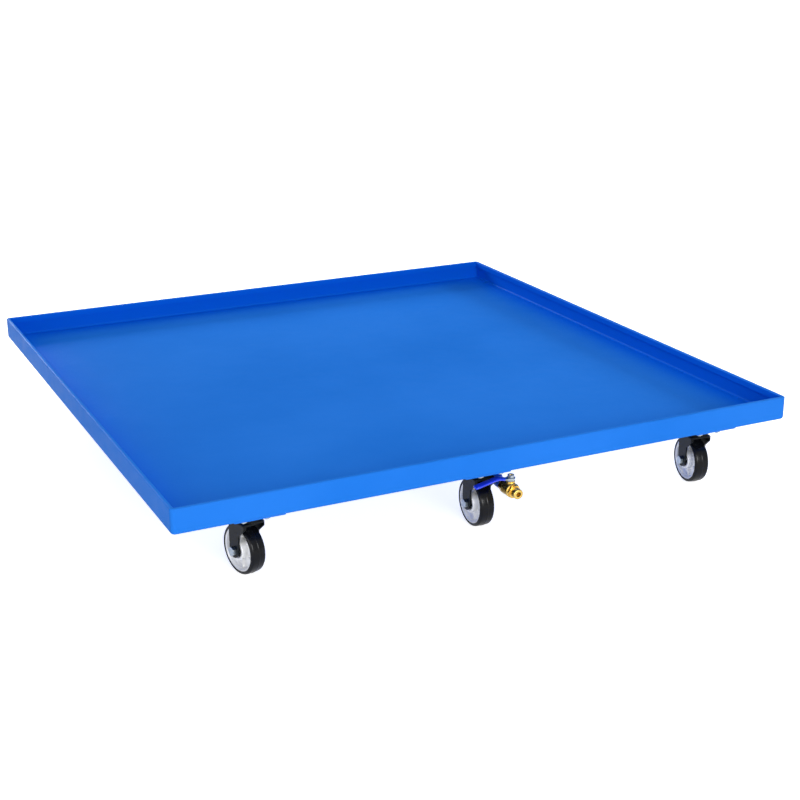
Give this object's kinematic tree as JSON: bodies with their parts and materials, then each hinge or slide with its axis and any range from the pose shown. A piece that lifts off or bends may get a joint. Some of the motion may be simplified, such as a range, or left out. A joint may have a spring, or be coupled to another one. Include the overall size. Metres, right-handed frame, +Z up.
{
  "type": "drum dolly",
  "caption": "Low wheeled steel tray that carries upright drums, catches their drips and lets them out through a valve.",
  "frame": {"origin": "on the ground under the middle of the tray", "axes": "+Z up, -Y towards the front edge with the drain valve, +X to the right seen from the front"},
  "size_m": [1.35, 1.35, 0.193],
  "materials": {
    "tray_blue": "satin powder coat",
    "drain_blue": "satin brushed-on paint",
    "bracket_black": "satin black e-coat",
    "zinc": "bright zinc plate",
    "bearing_steel": "ground steel",
    "wheel_aluminium": "cast, lightly machined",
    "tyre_rubber": "satin black rubber",
    "valve_brass": "machined",
    "ball_chrome": "polished",
    "seat_plastic": "matt",
    "sleeve_blue": "dipped vinyl, glossy"
  },
  "bodies": {
    "tray": {"tray_pan": "tray_blue", "mounting_pads": "tray_blue", "floor_stiffeners": "tray_blue", "castor_studs": "zinc", "castor_washers": "zinc", "castor_nuts": "zinc", "swivel_plates": "bracket_black", "fixed_plates": "bracket_black", "kingpins": "zinc", "swivel_balls": "bearing_steel", "fixed_forks": "bracket_black", "fixed_axle_bolts": "zinc", "fixed_axle_nuts": "zinc", "fixed_axle_sleeves": "bearing_steel", "drain_socket": "drain_blue", "drain_elbow": "drain_blue", "valve_body": "valve_brass", "valve_end": "valve_brass", "ball_seats": "seat_plastic", "gland_nut": "zinc"},
    "castor_front_left": {"fork_front_left": "bracket_black", "axle_bolt_front_left": "zinc", "axle_nut_front_left": "zinc", "axle_sleeve_front_left": "bearing_steel"},
    "castor_front_right": {"fork_front_right": "bracket_black", "axle_bolt_front_right": "zinc", "axle_nut_front_right": "zinc", "axle_sleeve_front_right": "bearing_steel"},
    "castor_back_left": {"fork_back_left": "bracket_black", "axle_bolt_back_left": "zinc", "axle_nut_back_left": "zinc", "axle_sleeve_back_left": "bearing_steel"},
    "castor_back_right": {"fork_back_right": "bracket_black", "axle_bolt_back_right": "zinc", "axle_nut_back_right": "zinc", "axle_sleeve_back_right": "bearing_steel"},
    "wheel_front_left": {"wheel_core_front_left": "wheel_aluminium", "bearings_front_left": "bearing_steel", "tyre_front_left": "tyre_rubber"},
    "wheel_front_right": {"wheel_core_front_right": "wheel_aluminium", "bearings_front_right": "bearing_steel", "tyre_front_right": "tyre_rubber"},
    "wheel_back_left": {"wheel_core_back_left": "wheel_aluminium", "bearings_back_left": "bearing_steel", "tyre_back_left": "tyre_rubber"},
    "wheel_back_right": {"wheel_core_back_right": "wheel_aluminium", "bearings_back_right": "bearing_steel", "tyre_back_right": "tyre_rubber"},
    "wheel_front_middle": {"wheel_core_front_middle": "wheel_aluminium", "bearings_front_middle": "bearing_steel", "tyre_front_middle": "tyre_rubber"},
    "wheel_back_middle": {"wheel_core_back_middle": "wheel_aluminium", "bearings_back_middle": "bearing_steel", "tyre_back_middle": "tyre_rubber"},
    "handle": {"valve_ball": "ball_chrome", "valve_stem": "valve_brass", "valve_lever": "zinc", "lever_sleeve": "sleeve_blue", "lever_nut": "zinc"}
  },
  "joints": [
    {"name": "front_left_swivel", "type": "hinge", "parent": "tray", "child": "castor_front_left", "pos_m": [-0.506, -0.599, 0.125], "axis": [0, 0, 1], "continuous": true},
    {"name": "front_right_swivel", "type": "hinge", "parent": "tray", "child": "castor_front_right", "pos_m": [0.506, -0.599, 0.125], "axis": [0, 0, 1], "continuous": true},
    {"name": "back_left_swivel", "type": "hinge", "parent": "tray", "child": "castor_back_left", "pos_m": [-0.506, 0.599, 0.125], "axis": [0, 0, 1], "continuous": true},
    {"name": "back_right_swivel", "type": "hinge", "parent": "tray", "child": "castor_back_right", "pos_m": [0.506, 0.599, 0.125], "axis": [0, 0, 1], "continuous": true},
    {"name": "front_left_roll", "type": "hinge", "parent": "castor_front_left", "child": "wheel_front_left", "pos_m": [-0.51023, -0.58202, 0.05], "axis": [-0.9703, -0.2419, 0], "continuous": true},
    {"name": "front_right_roll", "type": "hinge", "parent": "castor_front_right", "child": "wheel_front_right", "pos_m": [0.50813, -0.58163, 0.05], "axis": [-0.9925, 0.1219, 0], "continuous": true},
    {"name": "back_left_roll", "type": "hinge", "parent": "castor_back_left", "child": "wheel_back_left", "pos_m": [-0.50387, 0.58163, 0.05], "axis": [0.9925, 0.1219, 0], "continuous": true},
    {"name": "back_right_roll", "type": "hinge", "parent": "castor_back_right", "child": "wheel_back_right", "pos_m": [0.50326, 0.58171, 0.05], "axis": [0.9877, -0.1564, 0], "continuous": true},
    {"name": "front_middle_roll", "type": "hinge", "parent": "tray", "child": "wheel_front_middle", "pos_m": [-0.018, -0.5815, 0.05], "axis": [-1, 0, 0], "continuous": true},
    {"name": "back_middle_roll", "type": "hinge", "parent": "tray", "child": "wheel_back_middle", "pos_m": [-0.018, 0.5815, 0.05], "axis": [1, 0, 0], "continuous": true},
    {"name": "valve_turn", "type": "hinge", "parent": "tray", "child": "handle", "pos_m": [0.0295, -0.634, 0.109], "axis": [0, 0, 1], "range_deg": [0, 90]}
  ]
}
